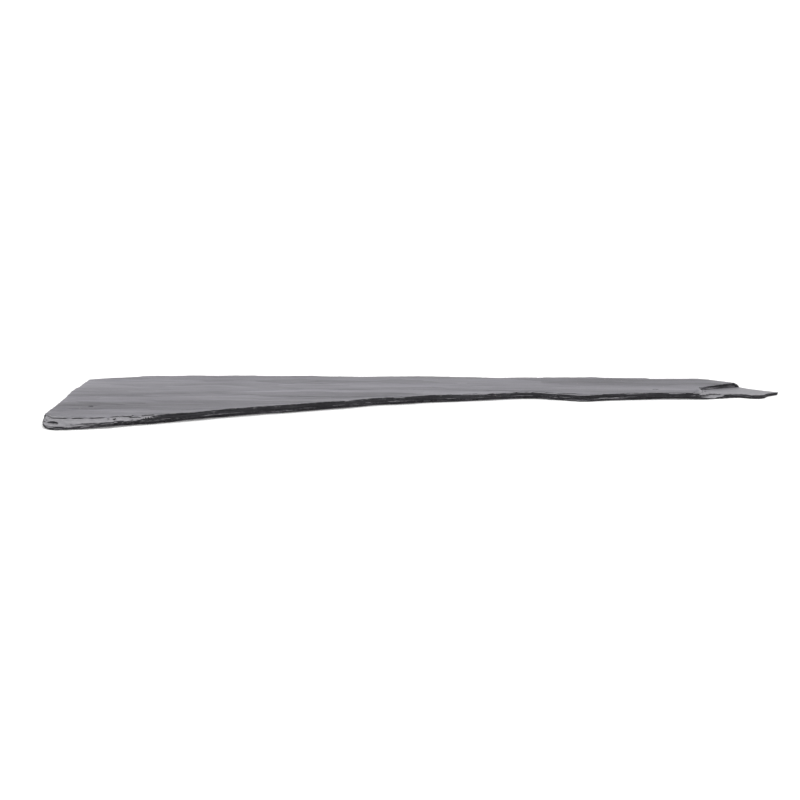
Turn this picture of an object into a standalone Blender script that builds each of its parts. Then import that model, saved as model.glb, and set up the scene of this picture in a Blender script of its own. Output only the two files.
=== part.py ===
"""A long split slab of slate, lying flat on its lower cleavage face.

+X runs along the slab from its broad end to its pointed end, +Y from the chipped front edge to the back
edge and +Z up. The origin is under the middle of the slab's box, on the plane that it rests on.

The slab is one stone, so it is one closed mesh: a stack of outlines, two for each sheet of slate, skinned
from the foot to the head. Neighbouring sheets end at different distances from the rim, which leaves the
stepped ledges of a broken slate edge. At the pointed end the upper sheets have snapped off along a diagonal
and the lower ones run on to the tip.
"""

import bmesh
import bpy
from mathutils import Vector, noise

MM = 0.001

# Both cleavage faces are flat. The stone is thickest at the broad end.
THICKNESS_AT_MIDDLE = 3.42 * MM
THINNING = 0.0036
TIP_TAPER_START = 0.116
TIP_TAPER_LENGTH = 0.034
TIP_TAPER = 0.3

# The rim stands out furthest at its waist and draws in above and below it. Heights are shares of the
# thickness. The waist is low, but it climbs along the front edge, which is undercut.
LOW_WAIST = 0.34
HIGH_WAIST = 0.84
CLIMB_START, CLIMB_LENGTH = -0.130, 0.034
UNDERCUT_SIDE, UNDERCUT_FADE = 0.034, 0.014
PARTING = 0.46
SHEET_TOPS = (0.16, LOW_WAIST, PARTING, 0.66, HIGH_WAIST, 1.0)
SHEET_DRAFT = 0.12 * MM
HEAD_CURVE = 1.25
FOOT_CURVE = 1.3

# Roughness of the broken rim, coarse and fine, and how far one sheet ends from the next.
COARSE_WAVE, COARSE_DEPTH = 17 * MM, 0.9 * MM
FINE_WAVE, FINE_DEPTH = 7 * MM, 0.6 * MM
LEDGE_WAVE, LEDGE_DEPTH = 13 * MM, 0.8 * MM

# The broad end broke along a straight joint, so its rim is smoother, as is that of the slender tip.
JOINT_START, JOINT_FADE = -0.137, 0.009
SMOOTHING = 0.75

# Corners of the rim in millimetres, anticlockwise seen from above: x, y, and how far the rim draws in from
# there at the head and at the foot.
FRONT_EDGE = [
    (-142.6, -53.2, 7.0, 0.4),
    (-134.0, -51.8, 6.0, 0.8),
    (-125.5, -50.0, 5.0, 3.6),
    (-119.0, -47.4, 3.8, 3.2),
    (-108.5, -42.4, 2.8, 1.4),
    (-94.0, -36.8, 1.0, 3.8),
    (-73.0, -25.8, 0.6, 2.8),
    (-46.0, -14.5, 0.7, 2.4),
    (-16.0, -1.7, 0.8, 2.0),
    (21.5, 8.3, 0.8, 1.6),
    (47.0, 12.2, 1.0, 1.6),
    (65.0, 5.6, 2.6, 0.6),
    (73.0, 8.0, 1.2, 0.8),
    (89.0, 9.7, 0.8, 1.4),
    (106.0, 10.4, 0.7, 2.4),
    (113.0, 10.3, 0.7, 2.2),
]
POINTED_END = [
    (113.0, 10.3, 0.7, 2.2),
    (118.0, 10.8, 0.5, 0.6),
    (127.0, 14.9, 0.5, 0.6),
    (132.5, 15.2, 0.4, 0.4),
    (137.0, 12.6, 0.4, 0.4),
    (142.0, 13.0, 0.3, 0.4),
    (144.4, 17.8, 0.3, 0.3),
    (150.8, 23.0, 0.2, 0.2),
    (145.4, 27.2, 0.3, 0.4),
    (140.0, 33.6, 0.4, 0.5),
    (137.4, 37.6, 1.8, 0.8),
]
SNAPPED_END = [
    (113.0, 10.3, 0.7, 2.2),
    (114.2, 18.4, 0.6, 0.6),
    (117.4, 25.8, 0.5, 0.5),
    (126.4, 31.2, 0.4, 0.5),
    (137.4, 37.6, 1.8, 0.8),
]
BACK_EDGE = [
    (137.4, 37.6, 1.8, 0.8),
    (122.0, 49.2, 1.2, 1.0),
    (99.0, 49.4, 1.2, 1.4),
    (76.0, 53.4, 2.0, 1.0),
    (38.0, 51.2, 1.4, 1.6),
    (4.0, 54.8, 2.4, 1.2),
    (-44.0, 52.8, 1.4, 1.8),
    (-78.0, 55.0, 2.0, 1.2),
    (-122.0, 52.6, 1.2, 1.4),
    (-136.0, 46.6, 1.2, 1.0),
    (-149.1, 41.2, 1.2, 1.0),
]
BROAD_END = [
    (-149.1, 41.2, 1.2, 1.0),
    (-150.5, 12.0, 0.8, 1.0),
    (-149.9, -16.0, 0.8, 0.8),
    (-150.4, -40.0, 1.4, 0.8),
    (-148.8, -47.6, 4.4, 0.6),
    (-145.6, -51.6, 6.2, 0.5),
    (-142.6, -53.2, 7.0, 0.4),
]
FRONT_STEPS, END_STEPS, BACK_STEPS, BROAD_STEPS = 64, 26, 56, 26

SLATE_COLOUR = (0.052, 0.053, 0.058, 1.0)
SLATE_ROUGHNESS = 0.55


def clear_scene():
    for obj in list(bpy.data.objects):
        bpy.data.objects.remove(obj, do_unlink=True)


def resampled(corners, steps):
    """Steps points evenly spaced along the polyline through the corners, with its last point left out."""
    rows = [Vector(corner) for corner in corners]
    lengths = [(b.xy - a.xy).length for a, b in zip(rows, rows[1:])]
    total = sum(lengths)
    points = []
    for step in range(steps):
        left = total * step / steps
        leg = 0
        while left > lengths[leg]:
            left -= lengths[leg]
            leg += 1
        points.append(rows[leg].lerp(rows[leg + 1], left / lengths[leg]) * MM)
    return points


def rim(end):
    """The closed rim as rows of x, y and the two draw-ins, with the given edge at the pointed end."""
    return (
        resampled(FRONT_EDGE, FRONT_STEPS)
        + resampled(end, END_STEPS)
        + resampled(BACK_EDGE, BACK_STEPS)
        + resampled(BROAD_END, BROAD_STEPS)
    )


def inward_normals(points, reach=2):
    """Directions into the stone, averaged over neighbouring points so that they turn gently at a corner."""
    normals = []
    for i in range(len(points)):
        along = points[(i + reach) % len(points)].xy - points[i - reach].xy
        normals.append(Vector((-along.y, along.x)).normalized())
    return normals


def wave(point, length, layer):
    return noise.noise(Vector((point.x / length, point.y / length, layer)))


def clamped(value):
    return min(1.0, max(0.0, value))


def roughness(x):
    """1 over most of the slab, less towards the tip and at the broad end."""
    tip = clamped((x - TIP_TAPER_START + 0.006) / TIP_TAPER_LENGTH)
    joint = clamped((JOINT_START - x) / JOINT_FADE)
    return 1.0 - SMOOTHING * max(tip, joint)


def waist(row):
    """The share of the thickness at which the rim stands out furthest."""
    climb = clamped((row.x - CLIMB_START) / CLIMB_LENGTH)
    front = clamped((UNDERCUT_SIDE - row.y) / UNDERCUT_FADE)
    return LOW_WAIST + (HIGH_WAIST - LOW_WAIST) * climb * front


def draw_in(row, share):
    """How far the rim draws in at this share of the thickness: not at all at the waist."""
    level = waist(row)
    if share > level:
        return row[2] * ((share - level) / (1 - level)) ** HEAD_CURVE
    return row[3] * ((level - share) / level) ** FOOT_CURVE


def height(x, share):
    """Height of this share of the thickness. The middle sheets thin out towards the tip."""
    thickness = THICKNESS_AT_MIDDLE - THINNING * x
    taper = TIP_TAPER * clamped((x - TIP_TAPER_START) / TIP_TAPER_LENGTH)
    return thickness * (share - taper * min(share, 1 - share))


def sheet_outline(rows, normals, sheet, share, extra):
    """One outline of a sheet: the rim, roughened, drawn in for its height and shifted for its sheet."""
    outline = []
    for row, normal in zip(rows, normals):
        rough = roughness(row.x)
        inset = draw_in(row, share) + extra
        inset += rough * COARSE_DEPTH * wave(row, COARSE_WAVE, 0.37)
        inset += rough * FINE_DEPTH * wave(row, FINE_WAVE, 4.13)
        inset += rough * LEDGE_DEPTH * wave(row, LEDGE_WAVE, 9.71 + 3.3 * sheet)
        place = row.xy + normal * inset
        outline.append(Vector((place.x, place.y, height(place.x, share))))
    return outline


def slab_outlines():
    """Every outline from the foot to the head, two to a sheet."""
    outlines = []
    bottom = 0.0
    for sheet, top in enumerate(SHEET_TOPS):
        rows = rim(POINTED_END if top <= PARTING else SNAPPED_END)
        normals = inward_normals(rows)
        outlines.append(sheet_outline(rows, normals, sheet, bottom, 0.0))
        outlines.append(sheet_outline(rows, normals, sheet, top, SHEET_DRAFT))
        bottom = top
    return outlines


def centred(outlines):
    """The same outlines with the middle of their box over the origin."""
    points = [point for outline in outlines for point in outline]
    middle_x = (min(point.x for point in points) + max(point.x for point in points)) / 2
    middle_y = (min(point.y for point in points) + max(point.y for point in points)) / 2
    middle = Vector((middle_x, middle_y, 0.0))
    return [[point - middle for point in outline] for outline in outlines]


def slate_material():
    material = bpy.data.materials.new("slate")
    material.use_nodes = True
    shader = material.node_tree.nodes["Principled BSDF"]
    shader.inputs["Base Color"].default_value = SLATE_COLOUR
    shader.inputs["Roughness"].default_value = SLATE_ROUGHNESS
    shader.inputs["Metallic"].default_value = 0.0
    return material


def skin(outlines):
    """A closed mesh over the outlines, capped at the foot and the head."""
    bm = bmesh.new()
    loops = [[bm.verts.new(point) for point in outline] for outline in outlines]
    count = len(loops[0])
    for lower, upper in zip(loops, loops[1:]):
        for i in range(count):
            j = (i + 1) % count
            bm.faces.new((lower[i], lower[j], upper[j], upper[i]))
    bm.faces.new(reversed(loops[0]))
    bm.faces.new(loops[-1])
    mesh = bpy.data.meshes.new("slate_slab")
    bm.to_mesh(mesh)
    bm.free()
    return mesh


def build():
    clear_scene()
    parts = bpy.data.collections.new("slate_slab_parts")
    bpy.context.scene.collection.children.link(parts)
    slab = bpy.data.objects.new("slate_slab", skin(centred(slab_outlines())))
    slab.data.materials.append(slate_material())
    parts.objects.link(slab)


build()
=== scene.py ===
import math

import bmesh
import bpy
import numpy as np
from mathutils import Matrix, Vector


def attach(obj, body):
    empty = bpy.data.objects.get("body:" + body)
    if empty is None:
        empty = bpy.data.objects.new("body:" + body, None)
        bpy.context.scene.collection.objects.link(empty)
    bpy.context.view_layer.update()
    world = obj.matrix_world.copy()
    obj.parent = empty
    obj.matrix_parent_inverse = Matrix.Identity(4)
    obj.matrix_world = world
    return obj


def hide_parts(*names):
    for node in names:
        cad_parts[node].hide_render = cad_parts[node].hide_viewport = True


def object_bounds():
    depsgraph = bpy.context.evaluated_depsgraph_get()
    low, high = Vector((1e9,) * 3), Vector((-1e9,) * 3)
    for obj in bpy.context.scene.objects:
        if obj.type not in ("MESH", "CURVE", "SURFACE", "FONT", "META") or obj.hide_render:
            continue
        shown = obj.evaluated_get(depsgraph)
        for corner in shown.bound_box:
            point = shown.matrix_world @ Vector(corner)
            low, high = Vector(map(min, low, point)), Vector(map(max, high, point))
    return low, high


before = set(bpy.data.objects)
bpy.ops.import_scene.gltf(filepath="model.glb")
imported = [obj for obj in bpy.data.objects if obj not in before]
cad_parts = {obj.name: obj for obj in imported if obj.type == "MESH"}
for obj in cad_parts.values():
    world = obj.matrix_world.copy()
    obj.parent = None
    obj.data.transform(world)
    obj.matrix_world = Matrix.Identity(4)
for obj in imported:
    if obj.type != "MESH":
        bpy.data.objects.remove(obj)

import openvdb

cadLow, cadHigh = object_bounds()
mm = 0.001


# ---- the slab's stone: where its layers lie and how each one breaks off ----
slab = {
    "node": "slate_slab",
    "seed": 41,
    # the thickness, as the frame has it: falls along X, and the middle layers thin towards the tip
    "thickness": 3.42 * mm,
    "thinning": 0.0036,
    "tipStart": 116.4 * mm,
    "tipLength": 34 * mm,
    "tipTaper": 0.3,
    # shares of the thickness where one sheet of slate ends and the next begins
    "sheetLevels": (0.0, 0.08, 0.16, 0.24, 0.27, 0.34, 0.40, 0.46, 0.56, 0.65, 0.68, 0.77, 0.85, 0.94, 1.0),
    "thinSheets": (3, 9),
    "parting": 0.46,
    # shares where the frame's outline is read, below and above the parting
    "lowerReads": (0.01, 0.08, 0.25, 0.40, 0.45),
    "upperReads": (0.47, 0.56, 0.75, 0.92, 0.99),
    # small pits in the upper face: x, y and half length
    "pits": (
        (-134.6 * mm, -24.3 * mm, 1.3 * mm), (18 * mm, 33 * mm, 0.8 * mm), (97 * mm, 19 * mm, 1.5 * mm),
    ),
    "pitWidth": 0.55,
    "pitDepth": 0.45 * mm,
    "skinDepth": 0.05 * mm,
    # open cracks under the topmost sheet at the oblique break: centre x, half length and depth
    "cracks": (
        (-142.4 * mm, 3.2 * mm, 2.6 * mm), (-135.0 * mm, 2.2 * mm, 1.6 * mm), (-127.8 * mm, 2.6 * mm, 2.2 * mm),
        (-121.2 * mm, 1.4 * mm, 1.5 * mm), (-117.0 * mm, 2.3 * mm, 2.0 * mm), (-109.0 * mm, 2.2 * mm, 1.5 * mm),
    ),
    # crushed hollows bitten out of the rim: centre x, y, z and half sizes along, across and up
    "spalls": (
        (-146.4 * mm, -51.6 * mm, 2.25 * mm, 4.8 * mm, 2.9 * mm, 0.8 * mm),
        (-141.0 * mm, -55.0 * mm, 0.9 * mm, 3.2 * mm, 2.2 * mm, 0.7 * mm),
        (120.6 * mm, 6.6 * mm, 3.2 * mm, 7.8 * mm, 9.6 * mm, 3.1 * mm),
    ),
    # the tip's upper face slopes down to the back by this much to each side of its middle line
    "tipTilt": 0.55 * mm,
    "tipMiddle": 27 * mm,
    # spacing of the grid that the stone is carved from
    "gridAcross": 0.36 * mm,
    "gridUp": 0.085 * mm,
    "margin": 1.5 * mm,
    "sheetOverlap": 0.03 * mm,
    "crowdReach": (3, 3, 5),
    "mostTriangles": 185000,
    "sharpAngle": 30,
}


def latticeNoise(x, y, seed):
    # smooth noise between -1 and 1, with one bump to a unit square
    table = np.random.default_rng(seed).uniform(-1, 1, (256, 256))
    column, row = np.floor(x).astype(int), np.floor(y).astype(int)
    u, v = x - column, y - row
    u, v = u * u * u * (u * (6 * u - 15) + 10), v * v * v * (v * (6 * v - 15) + 10)
    left, right, near, far = column % 256, (column + 1) % 256, row % 256, (row + 1) % 256
    low = table[left, near] * (1 - u) + table[right, near] * u
    high = table[left, far] * (1 - u) + table[right, far] * u
    return low * (1 - v) + high * v


def roughNoise(x, y, seed, octaves=3):
    # noise with finer and weaker noise on it
    total, weight = 0.0, 0.0
    for octave in range(octaves):
        total = total + latticeNoise(x * 2 ** octave, y * 2 ** octave, seed + 31 * octave) * 0.5 ** octave
        weight += 0.5 ** octave
    return total / weight * 1.3


def chipNoise(x, y, seed):
    # straight-sided patches, each with its own number from 0 to 1: how slate chips
    table = np.random.default_rng(seed).random((64, 64, 3))
    column, row = np.floor(x).astype(int), np.floor(y).astype(int)
    nearest = np.full(x.shape, 9.0)
    value = np.zeros(x.shape)
    for i in (-1, 0, 1):
        for j in (-1, 0, 1):
            cell = table[(column + i) % 64, (row + j) % 64]
            apart = (column + i + cell[..., 0] - x) ** 2 + (row + j + cell[..., 1] - y) ** 2
            closer = apart < nearest
            nearest = np.where(closer, apart, nearest)
            value = np.where(closer, cell[..., 2], value)
    return value


def smoothStep(low, high, value):
    t = np.clip((value - low) / (high - low), 0, 1)
    return t * t * (3 - 2 * t)


def tipShare(x):
    return slab["tipTaper"] * np.clip((x - slab["tipStart"]) / slab["tipLength"], 0, 1)


def thicknessAt(x):
    return slab["thickness"] - slab["thinning"] * x


def heightOf(x, share):
    return thicknessAt(x) * (share - tipShare(x) * np.minimum(share, 1 - share))


def shareOf(x, height):
    level, taper = height / thicknessAt(x), tipShare(x)
    return np.where(level < 0.5 * (1 - taper), level / (1 - taper), (level + taper) / (1 + taper))


def skinLevel(x, y):
    # how many thin skins of slate have come away from the upper face: patches with bent borders
    seed = slab["seed"]
    bentX = x + 7 * mm * roughNoise(x / (19 * mm), y / (12 * mm), seed + 13)
    bentY = y + 2.6 * mm * roughNoise(x / (15 * mm), y / (7 * mm), seed + 14)
    skins = chipNoise(bentX / (74 * mm), bentY / (10 * mm), seed + 6)
    skins += 0.5 * chipNoise(bentX / (30 * mm), bentY / (4.4 * mm), seed + 7)
    return np.floor(skins * 2.4)


def frameOutline(levelled, share):
    # the frame's outline where it is cut at this share of its thickness
    cut = bmesh.new()
    cut.from_mesh(levelled)
    found = bmesh.ops.bisect_plane(
        cut, geom=cut.verts[:] + cut.edges[:] + cut.faces[:], plane_co=(0, 0, share), plane_no=(0, 0, 1)
    )
    edges = [e for e in found["geom_cut"] if isinstance(e, bmesh.types.BMEdge)]
    near = {}
    for e in edges:
        for a, b in (e.verts, reversed(e.verts)):
            near.setdefault(a, []).append(b)
    start = edges[0].verts[0]
    loop, before, here = [start], None, start
    while True:
        ahead = [v for v in near[here] if v is not before][0]
        if ahead is start:
            break
        loop.append(ahead)
        before, here = here, ahead
    points = np.array([v.co.xy[:] for v in loop])
    cut.free()
    return points


def insideDistance(outline, x, y):
    # distance to a closed outline, positive inside
    nearest = np.full(x.shape, 1e9)
    inside = np.zeros(x.shape, bool)
    for a, b in zip(outline, np.roll(outline, -1, 0)):
        leg = b - a
        length = max(float(leg @ leg), 1e-18)
        t = np.clip(((x - a[0]) * leg[0] + (y - a[1]) * leg[1]) / length, 0, 1)
        nearest = np.minimum(nearest, (x - a[0] - t * leg[0]) ** 2 + (y - a[1] - t * leg[1]) ** 2)
        if a[1] != b[1]:
            crosses = (a[1] > y) != (b[1] > y)
            inside ^= crosses & (x < a[0] + (y - a[1]) / (b[1] - a[1]) * leg[0])
    return np.sqrt(nearest) * np.where(inside, 1, -1)


def levelledFrame():
    # a welded copy of the frame's stone, stretched so that equal shares of the thickness lie level
    copy = bmesh.new()
    copy.from_mesh(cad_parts[slab["node"]].data)
    bmesh.ops.remove_doubles(copy, verts=copy.verts[:], dist=1e-7)
    for v in copy.verts:
        v.co.z = float(shareOf(np.float64(v.co.x), np.float64(v.co.z)))
    mesh = bpy.data.meshes.new("levelledFrame")
    copy.to_mesh(mesh)
    copy.free()
    return mesh


def boxBlur(volume, axis, reach):
    # the mean over a few cells to each side along one axis
    spread = np.cumsum(np.pad(volume, [(reach + 1, reach) if a == axis else (0, 0) for a in range(3)], "edge"), axis)
    size = spread.shape[axis]
    ahead = np.take(spread, range(2 * reach + 1, size), axis)
    behind = np.take(spread, range(0, size - 2 * reach - 1), axis)
    return ((ahead - behind) / (2 * reach + 1)).astype(np.float32)


def carveStone():
    step = slab["gridAcross"]
    xs = np.arange(cadLow.x - slab["margin"], cadHigh.x + slab["margin"], step)
    ys = np.arange(cadLow.y - slab["margin"], cadHigh.y + slab["margin"], step)
    zs = np.arange(-6 * slab["gridUp"], cadHigh.z + 6 * slab["gridUp"], slab["gridUp"])
    x, y = np.meshgrid(xs, ys, indexing="ij")

    # distances are read on every third line and filled in between
    levelled = levelledFrame()
    fewX, fewY = xs[::3], ys[::3]
    coarseX, coarseY = np.meshgrid(fewX, fewY, indexing="ij")

    def rimDistance(share):
        coarse = insideDistance(frameOutline(levelled, share), coarseX, coarseY)
        filled = np.array([np.interp(ys, fewY, line) for line in coarse])
        return np.array([np.interp(xs, fewX, line) for line in filled.T]).T

    lower = np.array([rimDistance(share) for share in slab["lowerReads"]])
    upper = np.array([rimDistance(share) for share in slab["upperReads"]])
    bpy.data.meshes.remove(levelled)
    print("outlines read", lower.shape)

    def along(reads, distances, share):
        place = np.interp(share, reads, np.arange(len(reads)))
        index = np.minimum(place.astype(int), len(reads) - 2)
        part = (place - index)[:, None]
        columns = np.arange(len(xs))
        return distances[index, columns] * (1 - part) + distances[index + 1, columns] * part

    levels = slab["sheetLevels"]
    sheets = len(levels) - 1
    seed = slab["seed"]
    # the rim is calm at the tip and along the broad end, and the oblique break at the front left is smoother
    calm = 1 - 0.95 * smoothStep(112 * mm, 138 * mm, x)
    calm *= 1 - 0.8 * smoothStep(-136 * mm, -146 * mm, x) * smoothStep(-48 * mm, -40 * mm, y)
    oblique = smoothStep(-92 * mm, -108 * mm, x) * smoothStep(-26 * mm, -36 * mm, y)
    tilt = slab["tipTilt"] * smoothStep(108 * mm, 116 * mm, x)
    tilt = tilt * np.clip((slab["tipMiddle"] - y) / (12 * mm), -0.6, 1)
    crushed = smoothStep(-130 * mm, -122 * mm, x)
    front = smoothStep(-104 * mm, -92 * mm, x) * smoothStep(24 * mm, 18 * mm, y)
    scarp = smoothStep(111 * mm, 116 * mm, x) * smoothStep(20 * mm, 26 * mm, y)
    openCracks = [
        depth * smoothStep(1.15, 0.6, np.abs(x - middle) / half) for middle, half, depth in slab["cracks"]
    ]
    openCracks = np.max(openCracks, axis=0)

    # the faces between sheets wander a little, so no sheet is quite even
    faces = []
    for k, level in enumerate(levels):
        wander = 0.10 * mm * roughNoise(x / (46 * mm), y / (17 * mm), seed + 5 + k // 3) * calm
        wander += 0.035 * mm * roughNoise(x / (9 * mm), y / (3.4 * mm), seed + 40 + k) * calm
        base = heightOf(xs, level)[:, None]
        if k == 0:
            wander = 0.05 * mm * (1 + roughNoise(x / (38 * mm), y / (12 * mm), seed + 2))
        if k == sheets:
            wander = -0.06 * mm * (1 + roughNoise(x / (52 * mm), y / (14 * mm), seed + 3))
            wander -= 0.018 * mm * (1 + roughNoise(x / (60 * mm), y / (1.7 * mm), seed + 4))
            # shallow steps where skins of slate have come away, and a few small pits
            wander -= slab["skinDepth"] * skinLevel(x, y)
            for pitX, pitY, pitLength in slab["pits"]:
                away = np.hypot((x - pitX) / pitLength, (y - pitY) / (slab["pitWidth"] * pitLength))
                wander -= slab["pitDepth"] * smoothStep(1.0, 0.5, away + 0.2 * roughNoise(x / mm, y / mm, seed + 8))
        part = min(level / slab["parting"], (1 - level) / (1 - slab["parting"]))
        faces.append(base + wander + tilt * part)
    for k in range(1, sheets):
        faces[k] = np.clip(faces[k], faces[0] + 0.02 * mm * k, faces[-1] - 0.02 * mm * (sheets - k))

    # how far each sheet stops short of the frame's outline
    stops = []
    for k in range(sheets):
        block = seed + 100 * (k // 2)
        stop = 0.85 * mm * chipNoise(x / (9 * mm), y / (5 * mm), block + 11)
        stop += 0.35 * mm * roughNoise(x / (14 * mm), y / (9 * mm), seed + 400 + k)
        chips = 0.55 * mm * chipNoise(x / (3.6 * mm), y / (2.2 * mm), seed + 200 + k)
        chips += 0.22 * mm * roughNoise(x / (2.2 * mm), y / (1.5 * mm), seed + 300 + k)
        if k in slab["thinSheets"]:
            stop += 1.3 * mm * smoothStep(-0.1, 0.5, roughNoise(x / (26 * mm), y / (15 * mm), seed + 500 + k))
        # the oblique break is crushed towards its right end, a few sheets at a time
        crush = 0.4 * mm * roughNoise(x / (4.4 * mm), y / (2.6 * mm), seed + 12 + k // 4)
        crush += 1.6 * mm * crushed * (chipNoise(x / (3.8 * mm), y / (1.9 * mm), seed + 15 + k // 3) - 0.35)
        # small chips stay where the rim is calm, only shallower
        stop = (stop * calm + chips * (0.35 + 0.65 * calm)) * (1 - 0.88 * oblique) + crush * oblique
        if levels[k + 1] < 0.86:
            # the undercut front and the scarp at the break are cleaner, with few ledges
            stop *= 1 - 0.6 * front
        stop *= 1 - 0.8 * scarp
        if k == sheets - 1:
            # the topmost sheet sticks out over the break in places, with a dark gap under it
            stop -= 0.2 * mm * oblique
        if k == sheets - 2:
            stop += oblique * openCracks
        if levels[k] >= slab["parting"]:
            # the snapped sheets step down towards the front, so the break there is a rough ramp
            climb = smoothStep(25 * mm, 19 * mm, y) * smoothStep(108 * mm, 114 * mm, x)
            reach = (1 - (levels[k] - slab["parting"]) / (1 - slab["parting"])) ** 1.2
            ragged = 0.65 + 0.5 * chipNoise(x / (4.2 * mm), y / (3.0 * mm), seed + 600 + k)
            stop -= 4.0 * mm * climb * reach * ragged
        if levels[k] < slab["parting"]:
            # the tip's front edge is bevelled back above
            bevel = smoothStep(124 * mm, 131 * mm, x) * smoothStep(149 * mm, 144 * mm, x) * smoothStep(21 * mm, 17 * mm, y)
            stop += 0.35 * mm * bevel * smoothStep(0.0, 0.45, 0.5 * (levels[k] + levels[k + 1]))
            stop = np.maximum(stop, 0.02 * mm)
        stops.append(stop)

    field = np.full((len(xs), len(ys), len(zs)), -3.0, np.float32)
    overlap = slab["sheetOverlap"]
    for layer, z in enumerate(zs):
        share = shareOf(xs, z)
        low = along(slab["lowerReads"], lower, share)
        high = along(slab["upperReads"], upper, share)
        value = field[:, :, layer]
        for k in range(sheets):
            side = low - stops[k] if levels[k] < slab["parting"] else np.minimum(high - stops[k], low - 0.3 * mm)
            under = (z - faces[k] + overlap) / slab["gridUp"]
            over = (faces[k + 1] + overlap - z) / slab["gridUp"]
            np.maximum(value, np.minimum(np.minimum(under, over), side / step), out=value)
    # each hollow has its own ledges where it crosses the sheets
    for spallX, spallY, spallZ, length, depth, rise in slab["spalls"]:
        away = np.hypot((x - spallX) / length, (y - spallY) / depth)
        away = away + 0.10 * roughNoise(x / (2.5 * mm), y / (2 * mm), seed + 9)
        for layer, z in enumerate(zs):
            sheet = int(np.clip(np.searchsorted(levels, z / cadHigh.z, "right") - 1, 0, sheets - 1))
            ledge = 0.3 * (stops[sheet] - stops[sheet].mean()) / length
            hollow = (np.sqrt((away - ledge) ** 2 + ((z - spallZ) / rise) ** 2) - 1) * rise / slab["gridUp"]
            np.minimum(field[:, :, layer], hollow, out=field[:, :, layer])
    # nothing reaches below the plane that the stone rests on, or above the frame's top
    field = np.minimum(field, (zs / slab["gridUp"]).astype(np.float32))
    field = np.clip(field, -3, 3)
    print("stone carved", field.shape)

    # how much stone lies around each point: under a half on a worn corner, over a half in a crevice
    crowding = np.clip(field * 0.5 + 0.5, 0, 1)
    for axis, reach in enumerate(slab["crowdReach"]):
        crowding = boxBlur(crowding, axis, reach)

    grid = openvdb.FloatGrid(3.0)
    grid.copyFromArray(-field)
    points, quads = grid.convertToQuads(isovalue=0.0)
    points = points * np.array([step, step, slab["gridUp"]]) + np.array([xs[0], ys[0], zs[0]])
    mesh = bpy.data.meshes.new("slateSlab")
    mesh.from_pydata(points.tolist(), [], quads.tolist())
    mesh.update()
    print("skin", len(points), "points", len(quads), "quads")
    return mesh, {"start": (xs[0], ys[0], zs[0]), "spacing": (step, step, slab["gridUp"]), "crowding": crowding}


def thinnedTo(mesh, most):
    # fewer triangles, taken from where the stone is flattest
    piece = bpy.data.objects.new("thinning", mesh)
    bpy.context.scene.collection.objects.link(piece)
    triangles = sum(len(p.vertices) - 2 for p in mesh.polygons)
    if triangles > most:
        fewer = piece.modifiers.new("fewer", "DECIMATE")
        fewer.ratio = most / triangles
    final = bpy.data.meshes.new_from_object(piece.evaluated_get(bpy.context.evaluated_depsgraph_get()))
    bpy.data.objects.remove(piece, do_unlink=True)
    bpy.data.meshes.remove(mesh)
    print("thinned from", triangles, "to", sum(len(p.vertices) - 2 for p in final.polygons))
    return final


def markStone(mesh, carved):
    # what the finish needs to know at each point: broken or split face, steep face or crevice that gets painted shade,
    # worn corner, and which sheet
    places = np.empty(len(mesh.vertices) * 3)
    mesh.vertices.foreach_get("co", places)
    places = places.reshape(-1, 3)
    normals = np.empty(len(mesh.vertices) * 3, np.float32)
    mesh.vertex_normals.foreach_get("vector", normals)
    share = shareOf(places[:, 0], places[:, 2])
    cells = (places - np.array(carved["start"])) / np.array(carved["spacing"])
    cells = np.clip(np.rint(cells).astype(int), 0, np.array(carved["crowding"].shape) - 1)
    crowding = carved["crowding"][cells[:, 0], cells[:, 1], cells[:, 2]]
    tones = np.random.default_rng(slab["seed"]).uniform(-1, 1, len(slab["sheetLevels"]) + 1)
    upward = normals.reshape(-1, 3)[:, 2]
    leaning = smoothStep(0.12, 0.5, 1 - np.abs(upward))
    broken = np.maximum(smoothStep(0.20, 0.28, 1 - np.abs(2 * share - 1)), leaning)
    # the face that the snapped end left bare is nearly as smooth as the split face
    bare = smoothStep(114 * mm, 118 * mm, places[:, 0]) * smoothStep(0.93, 0.98, upward)
    broken = broken * (1 - 0.5 * bare)
    # an overhang in the broken rim counts as steep, but the split face that the stone lies on does not; the finish
    # paints shade on steep faces
    steep = broken * smoothStep(0.2, 0.65, 1 - upward) + (1 - broken) * smoothStep(0.25, 0.8, 1 - np.abs(upward))
    # crevices, and the pits in the upper face, get painted shade in the finish
    creviceShade = smoothStep(0.04, 0.30, crowding - 0.5)
    for pitX, pitY, pitLength in slab["pits"]:
        away = np.hypot((places[:, 0] - pitX) / pitLength, (places[:, 1] - pitY) / (slab["pitWidth"] * pitLength))
        creviceShade = np.maximum(creviceShade, smoothStep(1.0, 0.7, away) * (share > 0.7))
    marks = {
        "broken": broken,
        "steep": steep,
        "creviceShade": creviceShade,
        "worn": smoothStep(0.05, 0.28, 0.5 - crowding),
        "sheetTone": tones[np.searchsorted(slab["sheetLevels"], np.clip(share, 0, 1))],
        "skin": skinLevel(places[:, 0], places[:, 1]) / 3,
    }
    for name, values in marks.items():
        mark = mesh.attributes.new(name, "FLOAT", "POINT")
        mark.data.foreach_set("value", values.astype(np.float32))


def makeSlab():
    rough, carved = carveStone()
    mesh = thinnedTo(rough, slab["mostTriangles"])
    mesh.name = "slateSlab"
    markStone(mesh, carved)
    mesh.shade_smooth()
    mesh.set_sharp_from_angle(angle=math.radians(slab["sharpAngle"]))
    piece = bpy.data.objects.new("slateSlab", mesh)
    bpy.context.scene.collection.objects.link(piece)
    mesh.materials.clear()
    mesh.materials.append(slateFinish())
    return piece


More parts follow.
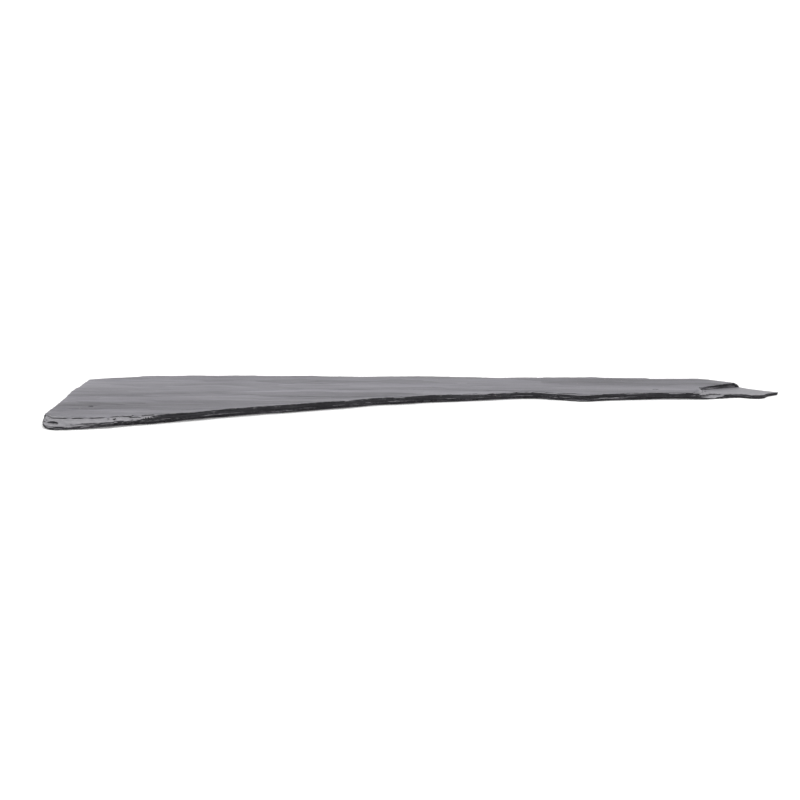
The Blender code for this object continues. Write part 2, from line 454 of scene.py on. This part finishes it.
# ---- the stone's finish ----
slate = {
    "dark": (0.052, 0.050, 0.060),
    "light": (0.350, 0.341, 0.378),
    "dust": (0.34, 0.335, 0.34),
    "fresh": (0.42, 0.413, 0.428),
    "shade": (0.008, 0.0077, 0.0088),
    "smoothest": 0.38,
    "roughest": 0.80,
    "refraction": 1.38,
    "shineLevel": 0.25,
}


def addNode(tree, kind, inputs=None, **settings):
    node = tree.nodes.new("ShaderNode" + kind)
    for name, value in settings.items():
        setattr(node, name, value)
    for name, value in (inputs or {}).items():
        if isinstance(value, bpy.types.NodeSocket):
            tree.links.new(value, node.inputs[name])
        else:
            node.inputs[name].default_value = value
    return node


def stretchedNoise(tree, places, scale, detail=4.0, roughness=0.55, bend=0.0):
    # noise that is longer along the axis with the smaller scale
    mapped = addNode(tree, "Mapping", {"Vector": places, "Scale": scale})
    inputs = {"Vector": mapped.outputs[0], "Scale": 1.0, "Detail": detail, "Roughness": roughness, "Distortion": bend}
    return addNode(tree, "TexNoise", inputs).outputs["Fac"]


def spread(tree, value, low, high, toLow=0.0, toHigh=1.0):
    inputs = {"Value": value, "From Min": low, "From Max": high, "To Min": toLow, "To Max": toHigh}
    return addNode(tree, "MapRange", inputs).outputs["Result"]


def combine(tree, how, a, b):
    return addNode(tree, "Math", {0: a, 1: b}, operation=how).outputs[0]


def blended(tree, amount, under, over, how="MIX"):
    node = addNode(tree, "Mix", data_type="RGBA", blend_type=how)
    for socket, value in zip([node.inputs[0], node.inputs[6], node.inputs[7]], [amount, under, over]):
        if isinstance(value, bpy.types.NodeSocket):
            tree.links.new(value, socket)
        else:
            socket.default_value = (*value, 1) if isinstance(value, tuple) else value
    return node.outputs[2]


def slateFinish():
    finish = bpy.data.materials.new("splitSlate")
    finish.use_nodes = True
    tree = finish.node_tree
    shader = tree.nodes["Principled BSDF"]
    places = addNode(tree, "TexCoord").outputs["Object"]

    def marked(name):
        return addNode(tree, "Attribute", attribute_name=name).outputs["Fac"]

    broken, steep, creviceShade, worn = marked("broken"), marked("steep"), marked("creviceShade"), marked("worn")

    # split faces: long faint streaks, cloudy patches and a fine grain
    streaks = stretchedNoise(tree, places, (11, 160, 300), 6.0, 0.6, 0.7)
    clouds = stretchedNoise(tree, places, (12, 40, 60), 4.0, 0.6, 0.5)
    hairs = stretchedNoise(tree, places, (90, 2400, 2400), 4.0, 0.65)
    grain = stretchedNoise(tree, places, (2600, 3800, 3800), 3.0, 0.7)
    tone = combine(tree, "ADD", combine(tree, "MULTIPLY", streaks, 0.5), combine(tree, "MULTIPLY", clouds, 0.4))
    tone = combine(tree, "ADD", tone, combine(tree, "MULTIPLY", marked("skin"), 0.13))
    for fine, amount in ((hairs, 0.30), (grain, 0.34)):
        tone = combine(tree, "ADD", tone, combine(tree, "MULTIPLY", combine(tree, "SUBTRACT", fine, 0.5), amount))
    tone = combine(tree, "ADD", tone, combine(tree, "MULTIPLY", marked("sheetTone"), 0.05))
    colour = blended(tree, spread(tree, tone, 0.30, 0.86), slate["dark"], slate["light"])

    # a thin film of dust that lies in patches on the split face
    film = spread(tree, stretchedNoise(tree, places, (26, 110, 110), 9.0, 0.72, 0.4), 0.48, 0.74, 0.0, 0.09)
    colour = blended(tree, film, colour, slate["dust"])

    # broken stone: powdery and pale where it faces up and flecked on its corners; painted shade, near black, on steep
    # and overhanging faces and in crevices and pits
    flecks = stretchedNoise(tree, places, (420, 700, 1500), 4.0, 0.7)
    facingUp = combine(tree, "MULTIPLY", broken, combine(tree, "SUBTRACT", 1.0, steep))
    powder = combine(tree, "MULTIPLY", facingUp, spread(tree, flecks, 0.34, 0.66, 0.34, 0.66))
    colour = blended(tree, powder, colour, slate["fresh"])
    # painted shade on steep faces, broken by faint lighter sheet lines
    lines = stretchedNoise(tree, places, (70, 70, 5200), 4.0, 0.65)
    steepShade = combine(tree, "MULTIPLY", steep, spread(tree, lines, 0.36, 0.62, 0.98, 0.74))
    colour = blended(tree, steepShade, colour, slate["shade"])
    chipped = combine(tree, "MULTIPLY", worn, spread(tree, flecks, 0.46, 0.64, 0.0, 0.6))
    colour = blended(tree, chipped, colour, slate["fresh"])
    # painted shade, near black, in crevices and pits
    colour = blended(tree, combine(tree, "MULTIPLY", creviceShade, 0.9), colour, slate["shade"])

    tree.links.new(colour, shader.inputs["Base Color"])

    # polish: the split face shines a little in streaks, broken stone does not
    shine = spread(tree, streaks, 0.35, 0.7, slate["smoothest"], slate["smoothest"] + 0.16)
    matt = combine(tree, "MAXIMUM", combine(tree, "MULTIPLY", broken, slate["roughest"]), shine)
    tree.links.new(matt, shader.inputs["Roughness"])
    shader.inputs["IOR"].default_value = slate["refraction"]
    shader.inputs["Specular IOR Level"].default_value = slate["shineLevel"]

    # relief: foliation on split faces, thin sheet lines on steep ones, coarse crush on broken ones
    foliation = stretchedNoise(tree, places, (60, 900, 900), 5.0, 0.65)
    pits = stretchedNoise(tree, places, (1500, 2600, 2600), 2.0, 0.6)
    crush = stretchedNoise(tree, places, (700, 900, 1800), 5.0, 0.7)
    relief = combine(tree, "ADD", combine(tree, "MULTIPLY", foliation, 0.35), combine(tree, "MULTIPLY", pits, 0.25))
    relief = combine(tree, "ADD", relief, combine(tree, "MULTIPLY", hairs, 0.3))
    relief = combine(tree, "ADD", relief, combine(tree, "MULTIPLY", combine(tree, "MULTIPLY", broken, crush), 3.0))
    relief = combine(tree, "ADD", relief, combine(tree, "MULTIPLY", combine(tree, "MULTIPLY", steep, lines), 3.0))
    bump = addNode(tree, "Bump", {"Height": relief, "Strength": 0.6, "Distance": 0.00008})
    tree.links.new(bump.outputs[0], shader.inputs["Normal"])
    return finish


# ---- crumbs of pale stone dust that stick to the slab ----
crumbs = {
    "Density": 3200.0,  # to a square metre
    "Smallest": 0.16 * mm,
    "Largest": 0.48 * mm,
    "Flatness": 0.34,
    "Seed": 7,
    "pale": (0.46, 0.44, 0.41),
    "dull": (0.26, 0.25, 0.245),
    "roughness": 0.9,
}


def crumbFinish():
    finish = bpy.data.materials.new("stoneDust")
    finish.use_nodes = True
    tree = finish.node_tree
    places = addNode(tree, "TexCoord").outputs["Object"]
    tone = spread(tree, stretchedNoise(tree, places, (300, 300, 300), 5.0, 0.6), 0.35, 0.65)
    shader = tree.nodes["Principled BSDF"]
    tree.links.new(blended(tree, tone, crumbs["dull"], crumbs["pale"]), shader.inputs["Base Color"])
    shader.inputs["Roughness"].default_value = crumbs["roughness"]
    return finish


def crumbTree(finish):
    # scatters small angular grains on the faces that look up
    tree = bpy.data.node_groups.new("crumbs", "GeometryNodeTree")
    tree.interface.new_socket("Geometry", in_out="INPUT", socket_type="NodeSocketGeometry")
    for name in ("Density", "Smallest", "Largest", "Flatness"):
        tree.interface.new_socket(name, in_out="INPUT", socket_type="NodeSocketFloat")
    tree.interface.new_socket("Seed", in_out="INPUT", socket_type="NodeSocketInt")
    tree.interface.new_socket("Geometry", in_out="OUTPUT", socket_type="NodeSocketGeometry")

    def add(kind, inputs=None, **settings):
        node = tree.nodes.new(kind)
        for name, value in settings.items():
            setattr(node, name, value)
        for name, value in (inputs or {}).items():
            if isinstance(value, bpy.types.NodeSocket):
                tree.links.new(value, node.inputs[name])
            else:
                node.inputs[name].default_value = value
        return node

    given = add("NodeGroupInput").outputs
    upward = add("ShaderNodeSeparateXYZ", {0: add("GeometryNodeInputNormal").outputs[0]}).outputs["Z"]
    looksUp = add("FunctionNodeCompare", {0: upward, 1: 0.9}, data_type="FLOAT", operation="GREATER_THAN")
    spots = add("GeometryNodeDistributePointsOnFaces", {
        "Mesh": given["Geometry"], "Selection": looksUp.outputs[0], "Density": given["Density"], "Seed": given["Seed"],
    })
    # many small grains and a few large ones, each lying flat and turned its own way
    chance = add("FunctionNodeRandomValue", {"Seed": given["Seed"]}, data_type="FLOAT").outputs[1]
    rare = add("ShaderNodeMath", {0: chance, 1: 3.0}, operation="POWER").outputs[0]
    size = add("ShaderNodeMapRange", {"Value": rare, "To Min": given["Smallest"], "To Max": given["Largest"]})
    flat = add("ShaderNodeCombineXYZ", {"X": 1.0, "Y": 0.75, "Z": given["Flatness"]}).outputs[0]
    scale = add("ShaderNodeVectorMath", {0: flat, "Scale": size.outputs["Result"]}, operation="SCALE").outputs[0]
    turn = add("FunctionNodeRandomValue", {0: (-0.2, -0.2, 0.0), 1: (0.2, 0.2, 6.28)}, data_type="FLOAT_VECTOR")
    grain = add("GeometryNodeMeshIcoSphere", {"Radius": 1.0, "Subdivisions": 1})
    placed = add("GeometryNodeInstanceOnPoints", {
        "Points": spots.outputs["Points"], "Instance": grain.outputs["Mesh"],
        "Rotation": turn.outputs[0], "Scale": scale,
    })
    whole = add("GeometryNodeRealizeInstances", {"Geometry": placed.outputs[0]})
    dressed = add("GeometryNodeSetMaterial", {"Geometry": whole.outputs[0], "Material": finish})
    add("NodeGroupOutput", {"Geometry": dressed.outputs[0]})
    return tree


def makeCrumbs(ground):
    source = bpy.data.objects.new("crumbSource", ground.data.copy())
    bpy.context.scene.collection.objects.link(source)
    scatter = source.modifiers.new("crumbs", "NODES")
    scatter.node_group = crumbTree(crumbFinish())
    for item in scatter.node_group.interface.items_tree:
        if item.in_out == "INPUT" and item.name in crumbs:
            scatter[item.identifier] = crumbs[item.name]
    source.update_tag()
    mesh = bpy.data.meshes.new_from_object(source.evaluated_get(bpy.context.evaluated_depsgraph_get()))
    source.modifiers.remove(scatter)
    bpy.data.objects.remove(source, do_unlink=True)
    # no grain stands above the frame's top
    for v in mesh.vertices:
        v.co.z = min(v.co.z, cadHigh.z)
    mesh.name = "slateCrumbs"
    piece = bpy.data.objects.new("slateCrumbs", mesh)
    bpy.context.scene.collection.objects.link(piece)
    print("crumbs", len(mesh.polygons) // 20)
    return piece


# ---- floor, light and camera ----
studio = {
    "floorRadius": 3.4,
    "wallRadius": 1.2,
    "floorTone": (0.93, 0.93, 0.93, 1),
    # the floor glows faintly, and its far part a little more, so that it runs into the wall unseen
    "floorGlow": 0.16,
    "wallGlow": 0.36,
    "glowStart": 0.9,
    "glowEnd": 3.2,
    "roomStrength": 0.5,
    "lampPlace": (0, 0.7, 2.6),
    "lampSize": (4.0, 2.4),
    "lampPower": 72,
    "cameraPlace": (-0.011787, -0.610032, 0.1149),
    "cameraPitch": 10.5,
    "lens": 67.5,
}


def makeFloor():
    # a round floor whose edge curves up into a wall, so that no horizon shows from any side
    shape = bmesh.new()
    flat, curve = studio["floorRadius"], studio["wallRadius"]
    profile = [(0, 0), (flat, 0)]
    for i in range(1, 13):
        turn = math.radians(90 * i / 12)
        profile.append((flat + curve * math.sin(turn), curve * (1 - math.cos(turn))))
    points = [shape.verts.new((r, 0, z)) for r, z in profile]
    edges = [shape.edges.new(pair) for pair in zip(points, points[1:])]
    bmesh.ops.spin(shape, geom=points + edges, axis=(0, 0, 1), cent=(0, 0, 0), steps=64, angle=math.tau, use_merge=True)
    bmesh.ops.remove_doubles(shape, verts=shape.verts[:], dist=1e-5)
    bmesh.ops.recalc_face_normals(shape, faces=shape.faces[:])
    mesh = bpy.data.meshes.new("floor")
    shape.to_mesh(mesh)
    shape.free()
    mesh.shade_smooth()
    floor = bpy.data.objects.new("floor", mesh)
    bpy.context.scene.collection.objects.link(floor)
    paint = bpy.data.materials.new("paleFloor")
    paint.use_nodes = True
    coat = paint.node_tree.nodes["Principled BSDF"]
    coat.inputs["Base Color"].default_value = studio["floorTone"]
    coat.inputs["Roughness"].default_value = 1.0
    coat.inputs["Specular IOR Level"].default_value = 0.0
    coat.inputs["Emission Color"].default_value = (1, 1, 1, 1)
    places = addNode(paint.node_tree, "TexCoord").outputs["Object"]
    away = addNode(paint.node_tree, "VectorMath", {0: places}, operation="LENGTH").outputs["Value"]
    glow = spread(
        paint.node_tree, away, studio["glowStart"], studio["glowEnd"], studio["floorGlow"], studio["wallGlow"]
    )
    paint.node_tree.links.new(glow, coat.inputs["Emission Strength"])
    mesh.materials.append(paint)


def makeLight():
    world = bpy.data.worlds.new("softRoom")
    bpy.context.scene.world = world
    world.use_nodes = True
    world.node_tree.nodes["Background"].inputs["Color"].default_value = (1, 1, 1, 1)
    world.node_tree.nodes["Background"].inputs["Strength"].default_value = studio["roomStrength"]
    panel = bpy.data.lights.new("softPanel", "AREA")
    panel.shape = "RECTANGLE"
    panel.size, panel.size_y = studio["lampSize"]
    panel.energy = studio["lampPower"]
    lamp = bpy.data.objects.new("softPanel", panel)
    bpy.context.scene.collection.objects.link(lamp)
    lamp.location = studio["lampPlace"]


def makeCamera():
    lens = bpy.data.cameras.new("camera")
    lens.lens = studio["lens"]
    lens.clip_start = 0.01
    camera = bpy.data.objects.new("camera", lens)
    bpy.context.scene.collection.objects.link(camera)
    camera.location = studio["cameraPlace"]
    camera.rotation_euler = (math.radians(90 - studio["cameraPitch"]), 0, 0)
    bpy.context.scene.camera = camera
    bpy.context.scene.view_settings.view_transform = "Standard"


stone = makeSlab()
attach(stone, "root")
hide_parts(slab["node"])
print("slab made")

grains = makeCrumbs(stone)
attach(grains, "root")
print("crumbs made")

makeFloor()
makeLight()
makeCamera()
print("studio made")
